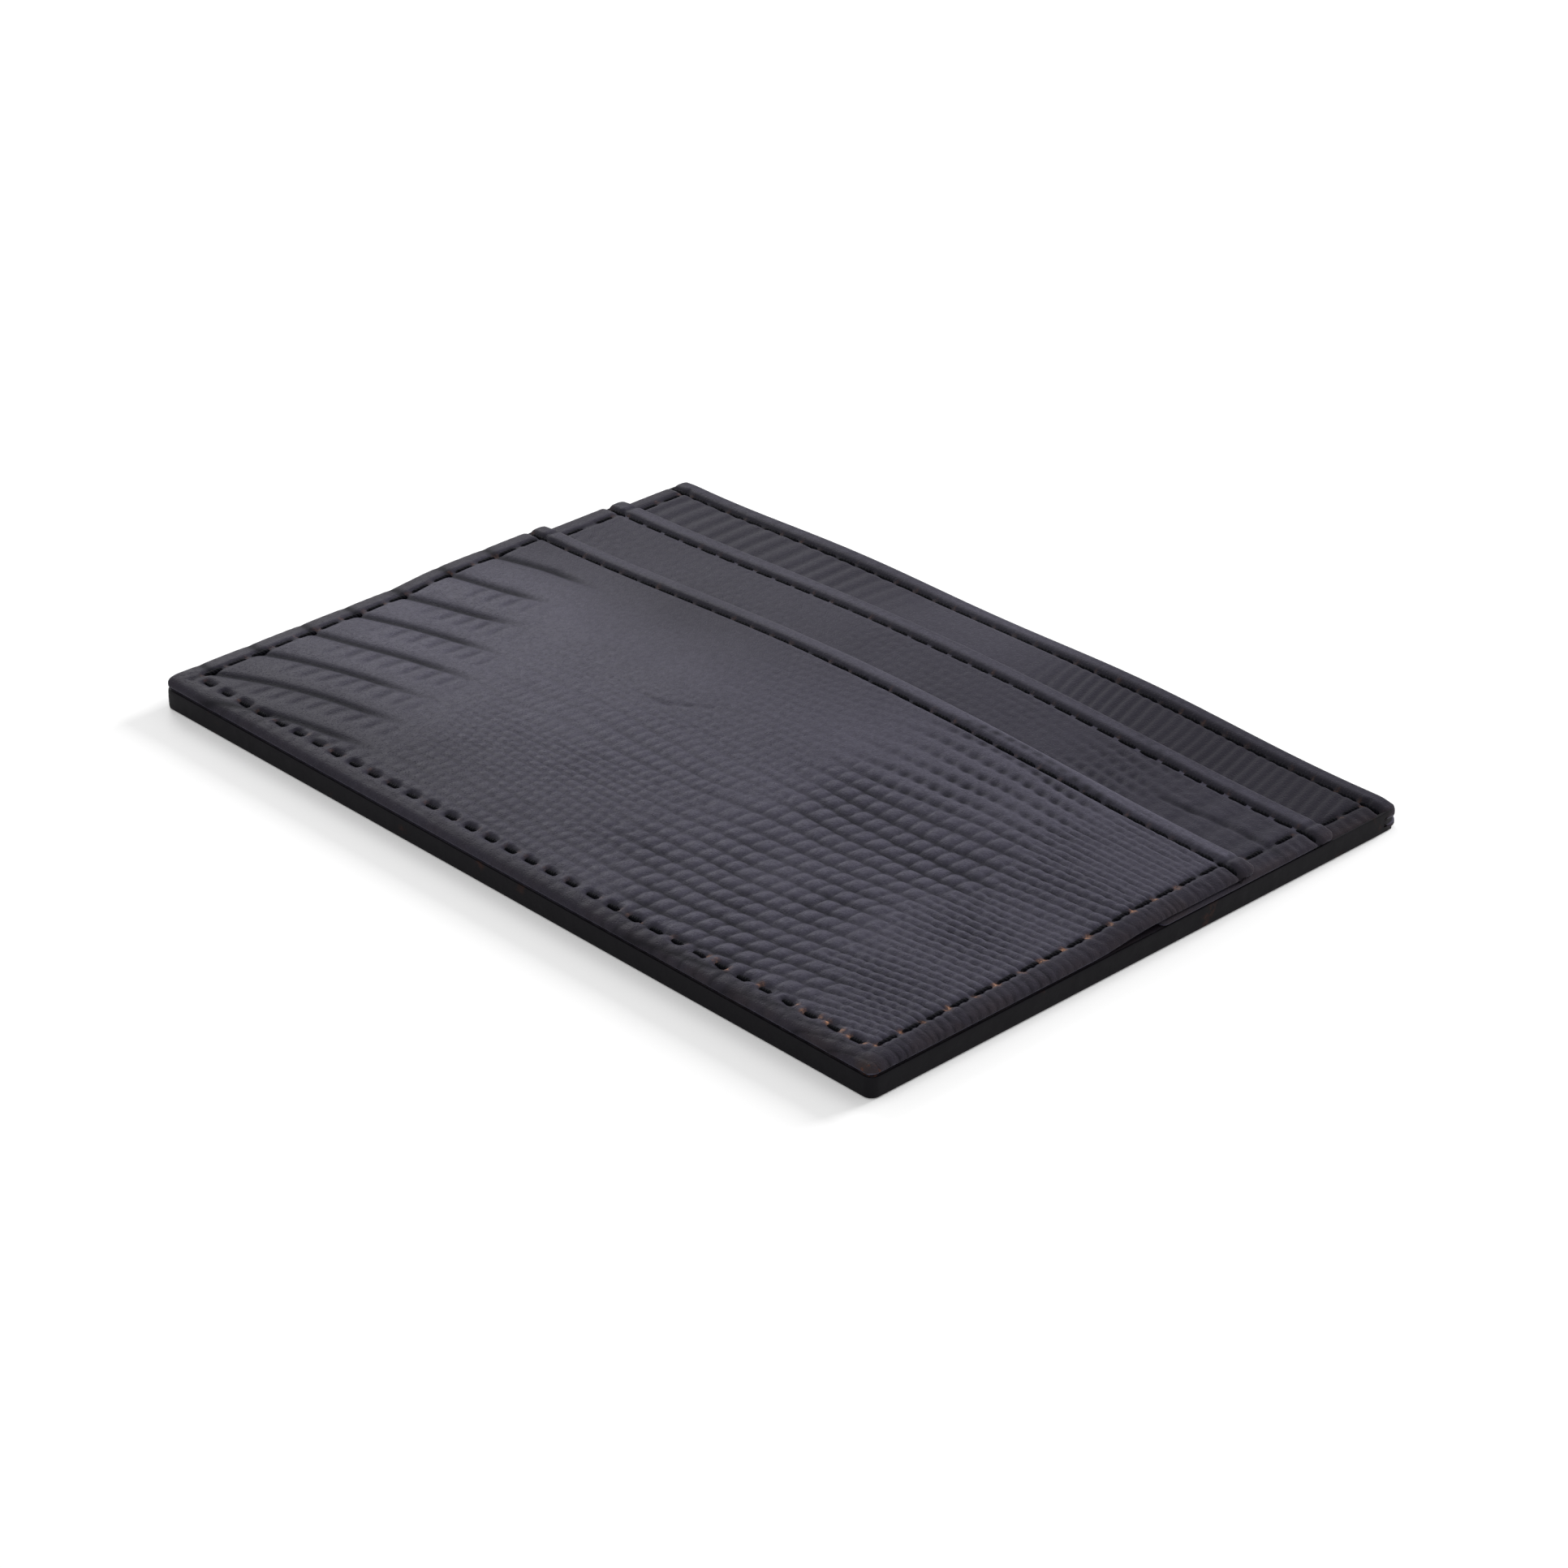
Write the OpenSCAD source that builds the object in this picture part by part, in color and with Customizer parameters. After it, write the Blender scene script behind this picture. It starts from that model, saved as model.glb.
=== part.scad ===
// Flat leather card holder: two card slots in front of an open centre pocket.
// X runs along the long edge, +Y toward the pocket mouths, +Z up out of the face.
// The origin is under the middle of the holder, on the surface that it lies on.

/* [Overall size] */
// Length of the long edge
holder_w = 100; // [92:0.5:120]
// Height from the closed edge to the open edge
holder_h = 70; // [64:0.1:92]
// Corner radius of the back and base panels
panel_corner = 2; // [1:0.1:4]

/* [Pocket mouths] */
// Height of the front pocket's mouth above the closed edge
front_mouth_h = 49.7; // [42:0.1:51]
// Height of the middle pocket's mouth above the closed edge
middle_mouth_h = 60.8; // [56:0.1:63]
// How far the middle pocket's leather runs down from its mouth
middle_strip_h = 24; // [20:0.5:30]
// Corner radius of the two pocket pieces
pocket_corner = 1; // [0.5:0.1:2]

/* [Leather and lining] */
// Thickness of the back panel's leather
back_t = 1.1; // [0.6:0.05:1.6]
// Thickness of the base panel's leather
base_t = 1.1; // [0.6:0.05:1.6]
// Thickness of the middle pocket's leather
middle_t = 0.4; // [0.4:0.05:1]
// Thickness of the front pocket's leather
front_t = 0.6; // [0.6:0.05:1.4]
// Thickness of each lining cloth
lining_t = 0.12; // [0.1:0.01:0.3]
// Glue film between a panel and its lining
glue_t = 0.03; // [0.02:0.01:0.1]
// How far the linings stop short of the panel edges
lining_inset = 1.2; // [0.8:0.1:2]
// Turned hem at a pocket mouth that the lining stops short of
hem_h = 3; // [2.5:0.1:6]
// Radius of the rounded edges of the base panel and the middle pocket
edge_roll = 0.35; // [0.1:0.05:0.38]
// Radius of the rolled edges of the front pocket
front_roll = 0.5; // [0.1:0.05:0.55]

/* [Card room] */
// Gap between the layers of a card slot at the seams
slot_gap = 0.05; // [0.04:0.01:0.3]
// Gap between the two halves at the seams
centre_gap = 0.08; // [0.05:0.01:0.4]
// How far the worn front half stands up in the middle
bulge = 1.2; // [0:0.1:3]
// Extra rise of each card slot in the middle of its mouth
slot_bulge = 0.25; // [0:0.05:0.8]

/* [Stitching] */
// Distance between stitches
stitch_pitch = 2.8; // [2:0.1:4]
// Length of thread that shows in one stitch
stitch_len = 2.1; // [1.2:0.1:2.4]
// Thread diameter
thread_d = 0.5; // [0.3:0.05:0.7]
// Seam line in from the two short edges
side_seam = 2.4; // [2.2:0.1:5]
// Seam line in from the closed edge
closed_seam = 2.4; // [2.2:0.1:5]
// Stitch line in from a turned pocket mouth or open edge
mouth_seam = 2.2; // [1.2:0.1:2.4]
// Clear space that keeps crossing stitch lines apart
stitch_clear = 0.4; // [0.3:0.05:0.8]
// Play between a stitch and the groove it lies in
groove_play = 0.1; // [0.05:0.05:0.3]

/* [Hidden] */
$fn = 32;

leather = [0.23, 0.225, 0.25];
lining_cloth = [0.12, 0.12, 0.13];
thread = [0.05, 0.05, 0.06];

half_w = holder_w / 2;
y_closed = -holder_h / 2;
y_open = holder_h / 2;
y_front = y_closed + front_mouth_h;
y_middle = y_closed + middle_mouth_h;
y_strip = y_middle - middle_strip_h;
y_seam = y_closed + closed_seam;
x_seam = half_w - side_seam;

// Undersides of the layers where they are sewn flat, from the back upward.
back_lining_z = back_t + glue_t;
base_lining_z = back_lining_z + lining_t + centre_gap;
base_z = base_lining_z + lining_t + glue_t;
base_top = base_z + base_t;
middle_lining_z = base_top + slot_gap;
middle_z = middle_lining_z + lining_t + glue_t;
middle_top = middle_z + middle_t;
front_lining_z = middle_lining_z + lining_t + slot_gap;
front_z = front_lining_z + lining_t + glue_t;
front_top = front_z + front_t;
// The front pocket climbs over the lower end of the middle pocket's leather.
climb = middle_top + slot_gap - front_lining_z;
climb_run = 8;
y_climb_end = y_strip - 1;

// The swell of the front half is greatest at this share of its height.
swell_peak = 0.72;
// Shares of a rounding radius at which an edge is sampled: a quarter turn in three steps.
ROUND = [for (turn = [0:30:90]) 1 - cos(turn)];

function clamp(v) = min(1, max(0, v));
function ease(v) = let (c = clamp(v)) c * c * (3 - 2 * c);

// Bulge: nothing on the side and closed seams, most in the middle near the mouths.
function across(x) = pow(1 - pow(clamp(abs(x) / x_seam), 2), 2);
function along(y, y_to) = clamp((y - y_seam) / (y_to - y_seam));
function swell(x, y) = bulge * across(x) * sin(90 * along(y, y_open) / swell_peak);
function slot_swell(x, y, y_to) = slot_bulge * across(x) * ease(along(y, y_to));

// Rise of each layer over its sewn height.
function base_rise(x, y) = swell(x, y);
function middle_rise(x, y) = swell(x, y) + slot_swell(x, y, y_middle);
function climbed(y) = ease((y - y_climb_end + climb_run) / climb_run);
function front_rise(x, y) = middle_rise(x, y) + slot_swell(x, y, y_front) + climb * climbed(y);

// A circle of radius r leaves this much of the corner or edge away at distance d from it.
function rounding(r, d) = d < r ? r - sqrt(r * r - pow(r - max(0, d), 2)) : 0;

// The thick rim of a leather sheet fills the room beside its lining, down to the piece below.
rim_w = lining_inset - 0.1;
rim_step = 0.1;

// Values in rising order, to a thousandth and without repeats.
function sorted(v) =
    len(v) <= 1 ? v
    : let (m = v[floor(len(v) / 2)])
    concat(sorted([for (a = v) if (a < m) a]), [m], sorted([for (a = v) if (a > m) a]));
function tidy(v) = sorted([for (a = v) round(a * 1000) / 1000]);

// Distances in from an end at which the grid has a line: over its rounding and at its rim.
function end_lines(r, rim) = concat([for (s = ROUND) s * r], rim ? [rim_w - rim_step, rim_w] : []);

// Grid lines between two ends, with even cells between their last end lines.
function grid_lines(from, to, near, far, cells) =
    let (a = from + max(near), b = to - max(far))
    tidy(concat(
        [for (d = near) from + d],
        [for (i = [1:cells - 1]) a + i * (b - a) / cells],
        [for (d = far) to - d]
    ));

// A sheet of even thickness t that follows rise(x, y) above height z.
// Its outline has rounded corners and its upper edge is rolled.
// Where rim_z(y) is given, its sides and its closed edge reach down to that height.
module sheet(z, t, inset, y_from, y_to, corner, roll, rise, cells, rim_z = undef) {
    half = half_w - inset;
    rim = is_function(rim_z);
    side_lines = end_lines(roll, rim);
    cols = grid_lines(-half, half, side_lines, side_lines, cells[0]);
    rows = grid_lines(y_from, y_to, end_lines(max(corner, roll), rim),
        end_lines(max(corner, roll), false), cells[1]);
    nc = len(cols);
    nr = len(rows);
    row_half = [for (y = rows) half - rounding(corner, y - y_from) - rounding(corner, y_to - y)];
    plan = [for (j = [0:nr - 1], x = cols) [x * row_half[j] / half, rows[j]]];
    edge_gap = [for (j = [0:nr - 1], x = cols)
        min((half - abs(x)) * row_half[j] / half, rows[j] - y_from, y_to - rows[j])];
    in_rim = [for (y = rows, x = cols)
        rim && min(half - abs(x), y - y_from) < rim_w - rim_step / 2];
    under = [for (p = plan) z + rise(p.x, p.y)];
    low = [for (i = [0:nc * nr - 1])
        [plan[i].x, plan[i].y, in_rim[i] ? rim_z(plan[i].y) : under[i]]];
    high = [for (i = [0:nc * nr - 1])
        [plan[i].x, plan[i].y, under[i] + t - rounding(roll, edge_gap[i])]];
    top = nc * nr;
    last = (nr - 1) * nc;
    faces = concat(
        [for (j = [0:nr - 2], i = [0:nc - 2]) let (a = j * nc + i) [a, a + 1, a + nc + 1]],
        [for (j = [0:nr - 2], i = [0:nc - 2]) let (a = j * nc + i) [a, a + nc + 1, a + nc]],
        [for (j = [0:nr - 2], i = [0:nc - 2]) let (a = top + j * nc + i) [a, a + nc + 1, a + 1]],
        [for (j = [0:nr - 2], i = [0:nc - 2]) let (a = top + j * nc + i) [a, a + nc, a + nc + 1]],
        [for (i = [0:nc - 2]) [i, i + top, i + top + 1, i + 1]],
        [for (i = [0:nc - 2]) let (a = last + i) [a + 1, a + top + 1, a + top, a]],
        [for (j = [0:nr - 2]) let (a = j * nc) [a + nc, a + nc + top, a + top, a]],
        [for (j = [0:nr - 2]) let (a = j * nc + nc - 1) [a, a + top, a + nc + top, a + nc]]
    );
    polyhedron(concat(low, high), faces, convexity = 4);
}

leather_cells = [12, 7];
lining_cells = [12, 6];

// A rounded rectangle of true arcs, for the flat back.
module rounded_plate(inset, y_to, corner, t) {
    half = half_w - inset;
    y_from = y_closed + inset;
    linear_extrude(t) union() {
        translate([-half + corner, y_from]) square([2 * (half - corner), y_to - y_from]);
        translate([-half, y_from + corner]) square([2 * half, y_to - y_from - 2 * corner]);
        for (x = [-half + corner, half - corner], y = [y_from + corner, y_to - corner])
            translate([x, y]) circle(corner);
    }
}

// One stitch: a half-round length of thread, flat side down, lying along X.
module stitch() {
    difference() {
        rotate([0, 90, 0]) cylinder(h = stitch_len, d = thread_d, center = true);
        translate([-stitch_len, -thread_d, -thread_d])
            cube([2 * stitch_len, 2 * thread_d, thread_d]);
    }
}

// Middles of the stitches that fit between two ends of a seam line.
function stitch_places(from, to) =
    let (n = max(1, floor((to - from) / stitch_pitch)))
    [for (i = [0:n - 1]) from + (i + 0.5) * (to - from) / n];

// The side seams run up through each strip of the front, stopping short of the lines they cross.
side_runs = [
    [y_seam + stitch_clear, y_front - mouth_seam - stitch_clear],
    [y_front + stitch_clear / 2, y_middle - mouth_seam - stitch_clear],
    [y_middle + stitch_clear / 2, y_open - mouth_seam - stitch_clear]
];
closed_run = stitch_places(-x_seam + stitch_clear, x_seam - stitch_clear);
open_run = stitch_places(-half_w + stitch_clear, half_w - stitch_clear);

// Height of the face over the side seam: it steps down at each pocket mouth.
function face_top(y) =
    y < y_front ? front_top + front_rise(half_w, y)
    : y < y_middle ? middle_top
    : base_top;
function face_slope(y) = atan((face_top(y + stitch_len / 2) - face_top(y - stitch_len / 2)) / stitch_len);

// A straight line of stitches across the holder, following the swell of its panel.
module cross_line(y, z, rise) {
    for (x = open_run) {
        ends = [rise(x - stitch_len / 2, y), rise(x + stitch_len / 2, y)];
        translate([x, y, z + max((ends[0] + ends[1]) / 2, rise(x, y)) + glue_t])
            rotate([0, -atan((ends[1] - ends[0]) / stitch_len), 0]) stitch();
    }
}

groove_w = thread_d + 2 * groove_play;
groove_depth = thread_d / 2 + groove_play;

// Grooves on the underside of the back that keep its stitches off the table.
module back_grooves() {
    below = -1;
    depth = groove_depth - below;
    for (side = [-1, 1])
        translate([side * x_seam - groove_w / 2, y_seam - groove_w / 2, below])
            cube([groove_w, y_open - y_seam + holder_h, depth]);
    translate([-x_seam, y_seam - groove_w / 2, below]) cube([2 * x_seam, groove_w, depth]);
    translate([-holder_w, y_open - mouth_seam - groove_w / 2, below])
        cube([2 * holder_w, groove_w, depth]);
}

module back_panel() {
    color(leather) difference() {
        rounded_plate(0, y_open, panel_corner, back_t);
        back_grooves();
    }
}

module back_lining() {
    color(lining_cloth) translate([0, 0, back_lining_z])
        rounded_plate(lining_inset, y_open - hem_h, panel_corner, lining_t);
}

module base_lining() {
    color(lining_cloth)
        sheet(base_lining_z, lining_t, lining_inset, y_closed + lining_inset, y_open - hem_h,
            panel_corner, 0, function (x, y) base_rise(x, y), lining_cells);
}

module base_panel() {
    color(leather)
        sheet(base_z, base_t, 0, y_closed, y_open, panel_corner, edge_roll,
            function (x, y) base_rise(x, y), leather_cells, function (y) back_t);
}

module middle_lining() {
    color(lining_cloth)
        sheet(middle_lining_z, lining_t, lining_inset, y_closed + lining_inset, y_middle - hem_h,
            pocket_corner, 0, function (x, y) middle_rise(x, y), lining_cells);
}

module middle_pocket() {
    color(leather)
        sheet(middle_z, middle_t, 0, y_strip, y_middle, pocket_corner, edge_roll,
            function (x, y) middle_rise(x, y), leather_cells, function (y) base_top);
}

module front_lining() {
    color(lining_cloth)
        sheet(front_lining_z, lining_t, lining_inset, y_closed + lining_inset, y_front - hem_h,
            pocket_corner, 0, function (x, y) front_rise(x, y), lining_cells);
}

module front_pocket() {
    color(leather)
        sheet(front_z, front_t, 0, y_closed, y_front, pocket_corner, front_roll,
            function (x, y) front_rise(x, y), leather_cells,
            function (y) base_top + (middle_top - base_top) * climbed(y));
}

module seam_stitches() {
    color(thread) {
        for (x = closed_run) translate([x, y_seam, front_top]) stitch();
        for (side = [-1, 1], run = side_runs, y = stitch_places(run[0], run[1]))
            translate([side * x_seam, y, face_top(y) + glue_t])
                rotate([face_slope(y), 0, 90]) stitch();
    }
}

module seam_stitches_back() {
    color(thread) translate([0, 0, groove_depth]) mirror([0, 0, 1]) {
        for (x = closed_run) translate([x, y_seam, 0]) stitch();
        for (side = [-1, 1], run = side_runs, y = stitch_places(run[0], run[1]))
            translate([side * x_seam, y, 0]) rotate([0, 0, 90]) stitch();
    }
}

module front_mouth_stitches() {
    color(thread) cross_line(y_front - mouth_seam, front_top, function (x, y) front_rise(x, y));
}

module middle_mouth_stitches() {
    color(thread) cross_line(y_middle - mouth_seam, middle_top, function (x, y) middle_rise(x, y));
}

module base_edge_stitches() {
    color(thread) cross_line(y_open - mouth_seam, base_top, function (x, y) base_rise(x, y));
}

module back_edge_stitches() {
    color(thread) translate([0, 0, groove_depth]) mirror([0, 0, 1])
        for (x = open_run) translate([x, y_open - mouth_seam, 0]) stitch();
}

back_panel();
back_lining();
base_lining();
base_panel();
middle_lining();
middle_pocket();
front_lining();
front_pocket();
seam_stitches();
seam_stitches_back();
front_mouth_stitches();
middle_mouth_stitches();
base_edge_stitches();
back_edge_stitches();
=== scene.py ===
from collections import namedtuple
from functools import partial
from types import SimpleNamespace

import bpy
import numpy as np
from bpy.props import FloatProperty, FloatVectorProperty, PointerProperty
from bpy.types import Operator, Panel, PropertyGroup
from mathutils import Matrix, Vector


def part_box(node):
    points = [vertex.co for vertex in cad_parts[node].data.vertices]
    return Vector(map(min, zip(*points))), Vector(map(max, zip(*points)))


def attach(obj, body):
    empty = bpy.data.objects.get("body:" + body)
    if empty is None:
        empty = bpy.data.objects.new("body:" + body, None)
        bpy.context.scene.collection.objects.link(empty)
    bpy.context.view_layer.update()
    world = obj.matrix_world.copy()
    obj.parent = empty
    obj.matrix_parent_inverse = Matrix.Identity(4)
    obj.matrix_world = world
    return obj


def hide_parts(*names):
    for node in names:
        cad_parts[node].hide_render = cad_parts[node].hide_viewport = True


bl_info = {
    "name": "Card Holder",
    "version": (1, 0, 0),
    "blender": (4, 5, 0),
    "location": "3D View > Sidebar > Card Holder",
    "description": "Dresses a flat card holder in embossed lizard leather, lining cloth and stitching",
    "category": "Add Mesh",
}

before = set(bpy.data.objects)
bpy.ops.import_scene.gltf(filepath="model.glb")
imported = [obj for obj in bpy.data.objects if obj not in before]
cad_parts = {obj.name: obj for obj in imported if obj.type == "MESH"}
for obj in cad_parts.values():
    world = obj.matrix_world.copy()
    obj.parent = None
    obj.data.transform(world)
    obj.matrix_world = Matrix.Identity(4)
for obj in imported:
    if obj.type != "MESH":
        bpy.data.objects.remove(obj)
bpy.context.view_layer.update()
BODY = "root"
MM = 0.001

FRONT_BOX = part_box("front_pocket")
MIDDLE_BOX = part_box("middle_pocket")
BASE_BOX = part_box("base_panel")
# How far the front pocket takes to climb onto the middle pocket's leather, in millimetres.
CLIMB_RUN = 8.0


def length(name, description, default):
    """A length property, whose default is given in millimetres."""
    return FloatProperty(name=name, description=description, default=default * MM, unit="LENGTH", precision=5)


def colour(name, description, default):
    """A linear colour property."""
    limits = {"subtype": "COLOR", "size": 3, "min": 0, "max": 1}
    return FloatVectorProperty(name=name, description=description, default=default, **limits)


class HolderSizes(PropertyGroup):
    """Sizes of the leather, lining, stitches and relief."""

    back_t: length("Back leather", "Thickness of the back panel", 1.1)
    base_t: length("Base leather", "Thickness of the base panel", 1.1)
    middle_t: length("Middle leather", "Thickness of the middle pocket", 0.4)
    front_t: length("Front leather", "Thickness of the front pocket", 0.6)
    lining_t: length("Lining", "Thickness of each lining cloth", 0.12)
    glue_t: length("Glue", "Glue film between a panel and its lining", 0.03)
    lining_inset: length("Lining inset", "How far a lining stops short of the panel edge", 1.2)
    hem: length("Hem", "Turned hem at a mouth that the lining stops short of", 3)
    slot_gap: length("Slot gap", "Gap between the layers of a slot at the seams", 0.05)
    centre_gap: length("Centre gap", "Gap between the two halves at the seams", 0.08)
    bulge: length("Bulge", "Rise of the worn front half in the middle", 1.2)
    slot_bulge: length("Slot bulge", "Extra rise of each card slot at its mouth", 0.25)
    swell_peak: FloatProperty(
        name="Swell peak", description="Share of the height at which the swell is greatest", default=0.72
    )
    panel_corner: length("Panel corner", "Corner radius of the back and base panels", 0.9)
    pocket_corner: length("Pocket corner", "Corner radius of the pockets", 0.8)
    side_seam: length("Side seam", "Seam line in from the short edges", 2.4)
    closed_seam: length("Closed seam", "Seam line in from the closed edge", 2.4)
    mouth_seam: length("Mouth seam", "Stitch line in from a mouth or open edge", 2.2)
    stitch_pitch: length("Stitch pitch", "Distance between stitches", 2.8)
    thread_d: length("Thread", "Thread diameter", 0.5)
    relief: length("Relief", "Depth of the gaps between the scales", 0.31)
    lip: length("Lip", "Height of the rounded lip at a turned mouth", 0.18)
    fall: length("Border fall", "How far the rolled border falls from the seam to the edge", 0.42)
    wave: length("Edge wave", "How far the open edge of the base panel waves up and down", 0.3)
    grid: length("Grid", "Spacing of the points of the embossed surfaces", 0.24)


class HolderColours(PropertyGroup):
    """Colours of the finishes."""

    # leather is the face colour where a painted highlight lies; the next colour is the darker face, used for
    # painted shade and for the darker mottling of the grain.
    leather: colour("Leather", "Charcoal face of the leather where it is polished", (0.070, 0.066, 0.092))
    shade: colour("Dyed leather", "Face of the leather where it keeps its dye", (0.012, 0.0105, 0.017))
    worn: colour("Worn leather", "Brown that shows through where the edge is rubbed", (0.036, 0.026, 0.025))
    # The pit colour is painted shade in the hollows between the scales, in the stitch dimples and in the
    # mouth groove.
    pit: colour("Pits", "Dye gathered between the scales", (0.005, 0.005, 0.0075))
    fleck: colour("Flecks", "Bare leather fibre at the needle holes", (0.42, 0.21, 0.12))
    edge: colour("Edge paint", "Black paint on the cut edges", (0.006, 0.0055, 0.007))
    edge_worn: colour("Rubbed edge", "Brown where the edge paint is rubbed", (0.10, 0.035, 0.018))
    lining: colour("Lining", "Lining cloth", (0.020, 0.019, 0.022))
    thread: colour("Thread", "Waxed thread", (0.002, 0.002, 0.003))
    floor: colour("Floor", "Pale floor", (0.90, 0.90, 0.90))


# ---------------------------------------------------------------- shape of the stack, in millimetres


def clamp(v):
    return np.clip(v, 0.0, 1.0)


def ease(v):
    """Smooth step from 0 to 1: 3 c^2 - 2 c^3 with c held between 0 and 1."""
    c = clamp(v)
    return c * c * (3 - 2 * c)


def bell(v):
    """A bell curve, exp(-v^2)."""
    return np.exp(-v * v)


def mix(first, second, share):
    """first where share is 0, second where it is 1."""
    return first + (second - first) * share


def holder(context):
    """The holder's lines and heights in millimetres, worked out from the sizes and the frame."""
    sizes = context.scene.holder_sizes
    h = SimpleNamespace()
    for name in HolderSizes.__annotations__:
        value = getattr(sizes, name)
        setattr(h, name, value if name == "swell_peak" else value / MM)
    h.half = BASE_BOX[1].x / MM
    h.closed = BASE_BOX[0].y / MM
    h.open = BASE_BOX[1].y / MM
    h.front = FRONT_BOX[1].y / MM
    h.middle = MIDDLE_BOX[1].y / MM
    h.strip = MIDDLE_BOX[0].y / MM
    h.x_seam = h.half - h.side_seam
    h.y_seam = h.closed + h.closed_seam
    h.rim = h.lining_inset - 0.1
    glued = h.lining_t + h.glue_t
    h.back_lining_z = h.back_t + h.glue_t
    h.base_lining_z = h.back_lining_z + h.lining_t + h.centre_gap
    h.base_z = h.base_lining_z + glued
    h.base_top = h.base_z + h.base_t
    h.middle_lining_z = h.base_top + h.slot_gap
    h.middle_z = h.middle_lining_z + glued
    h.middle_top = h.middle_z + h.middle_t
    h.front_lining_z = h.middle_lining_z + h.lining_t + h.slot_gap
    h.front_z = h.front_lining_z + glued
    h.front_top = h.front_z + h.front_t
    h.climb = h.middle_top + h.slot_gap - h.front_lining_z
    h.climb_end = h.strip - 1.0
    return h


def across(h, x):
    """Swell across the holder: (1 - u^2)^2, where u is x as a share of the seam's distance."""
    u = clamp(np.abs(x) / h.x_seam)
    return (1 - u * u) ** 2


def along(h, y, end):
    """Share of the way from the closed seam to end."""
    return clamp((y - h.y_seam) / (end - h.y_seam))


def base_rise(h, x, y):
    """Swell of the front half: bulge * across(x) * sin(quarter turn * share of height / peak)."""
    return h.bulge * across(h, x) * np.sin(0.5 * np.pi * along(h, y, h.open) / h.swell_peak)


def slot_rise(h, x, y, mouth):
    """Extra rise of one slot: slot_bulge * across(x) * ease(share of the way to its mouth)."""
    return h.slot_bulge * across(h, x) * ease(along(h, y, mouth))


def middle_rise(h, x, y):
    """The base's swell and the middle slot's own rise."""
    return base_rise(h, x, y) + slot_rise(h, x, y, h.middle)


def climbed(h, y):
    """How far the front pocket has climbed onto the middle pocket's leather, from 0 to 1."""
    return ease((y - h.climb_end) / CLIMB_RUN + 1)


def front_rise(h, x, y):
    """The middle's rise, the front slot's own, and the climb onto the middle pocket's leather."""
    return middle_rise(h, x, y) + slot_rise(h, x, y, h.front) + h.climb * climbed(h, y)


def border_fall(h, x, y):
    """How far the sewn border has fallen: fall (1 - edge / width)^2 outside the seam, where edge is
    the distance in from the closed edge or the right side, and a third of that at the left side."""
    width = h.closed_seam + 0.2
    right, left = clamp(1 - (h.half - x) / width), clamp(1 - (h.half + x) / width)
    closed = clamp(1 - (y - h.closed) / width)
    return h.fall * np.maximum.reduce([right ** 2, closed ** 2, left ** 2 / 3])


def edge_wave(h, x, y):
    """A slow wave of the base panel above the middle pocket's mouth, nothing at the sides:
    wave cos(2 pi (x - 22) / 50) (1 - u^2)."""
    u = clamp(np.abs(x) / h.x_seam)
    reach = ease((y - h.middle) / (h.open - h.middle))
    return h.wave * np.cos(2 * np.pi * (x - 22) / 50) * (1 - u * u) * reach


def front_face(h, x, y):
    """Height of the front pocket's face."""
    return h.front_top + front_rise(h, x, y) - border_fall(h, x, y)


def middle_face(h, x, y):
    """Height of the middle pocket's face."""
    return h.middle_top + middle_rise(h, x, y) - border_fall(h, x, y)


def base_face(h, x, y):
    """Height of the base panel's face."""
    return h.base_top + (base_rise(h, x, y) + edge_wave(h, x, y)) - border_fall(h, x, y)


def whole_face(h, x, y):
    """Height of the whole face, which steps down at each mouth."""
    behind = np.where(y < h.middle, middle_face(h, x, y), base_face(h, x, y))
    return np.where(y < h.front, front_face(h, x, y), behind)


def flat(h, x, y):
    """No rise or height at all."""
    return 0 * x


# ---------------------------------------------------------------- lizard relief, in millimetres


TABLE = 64


def noise(x, y, size, seed):
    """Smooth noise from -1 to 1: random values on a square lattice of the given size, eased between.
    The lattice repeats after TABLE squares."""
    table = np.random.default_rng(seed).random((TABLE, TABLE))
    u, v = x / size + 1000.0, y / size + 1000.0
    i, j = np.floor(u).astype(int), np.floor(v).astype(int)
    s, t = ease(u - i), ease(v - j)
    left, right, low, high = i % TABLE, (i + 1) % TABLE, j % TABLE, (j + 1) % TABLE
    below, above = mix(table[left, low], table[right, low], s), mix(table[left, high], table[right, high], s)
    return 2 * (below * (1 - t) + above * t) - 1


def row_shift(row, seed):
    """A random shift from 0 to 1 for each whole row number."""
    table = np.random.default_rng(seed).random(512)
    return table[np.round(row).astype(int) % 512]


def hollow(phase, sharpness):
    """1 at each whole phase and 0 midway: (0.5 + 0.5 cos(2 pi phase))^sharpness."""
    return (0.5 + 0.5 * np.cos(2 * np.pi * phase)) ** sharpness


# Distance from the left edge of the guide points, and how far each guide row has climbed there.
GUIDE_X = (30, 42, 50, 57, 64, 71, 78, 84, 90, 97)
# Each guide row: its distance down from the open edge, and its climb at each guide point.
GUIDE_ROWS = (
    (24.0, (-6.5, -5.8, -4.2, -2.0, -1.0, 0.1, -0.6, -1.2, -1.4, -2.0)),
    (35.0, (-3.0, -2.6, -2.3, -1.9, -1.3, 0.0, 0.9, 1.3, 2.2, 3.0)),
    (42.0, (0.6, 0.4, 0.1, -0.1, -0.2, 0.0, 0.4, 0.7, 1.4, 2.3)),
    (50.5, (-3.2, -2.9, -2.5, -2.0, -1.1, 0.0, 0.8, 1.5, 2.7, 3.4)),
    (61.0, (0.9, 0.5, 0.1, 0.0, -0.1, 0.0, 0.8, 2.4, 3.7, 4.8)),
    (66.0, (0.0, 0.0, -0.3, -0.8, -0.6, 0.0, 1.1, 2.7, 4.6, 6.5)),
)


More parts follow.
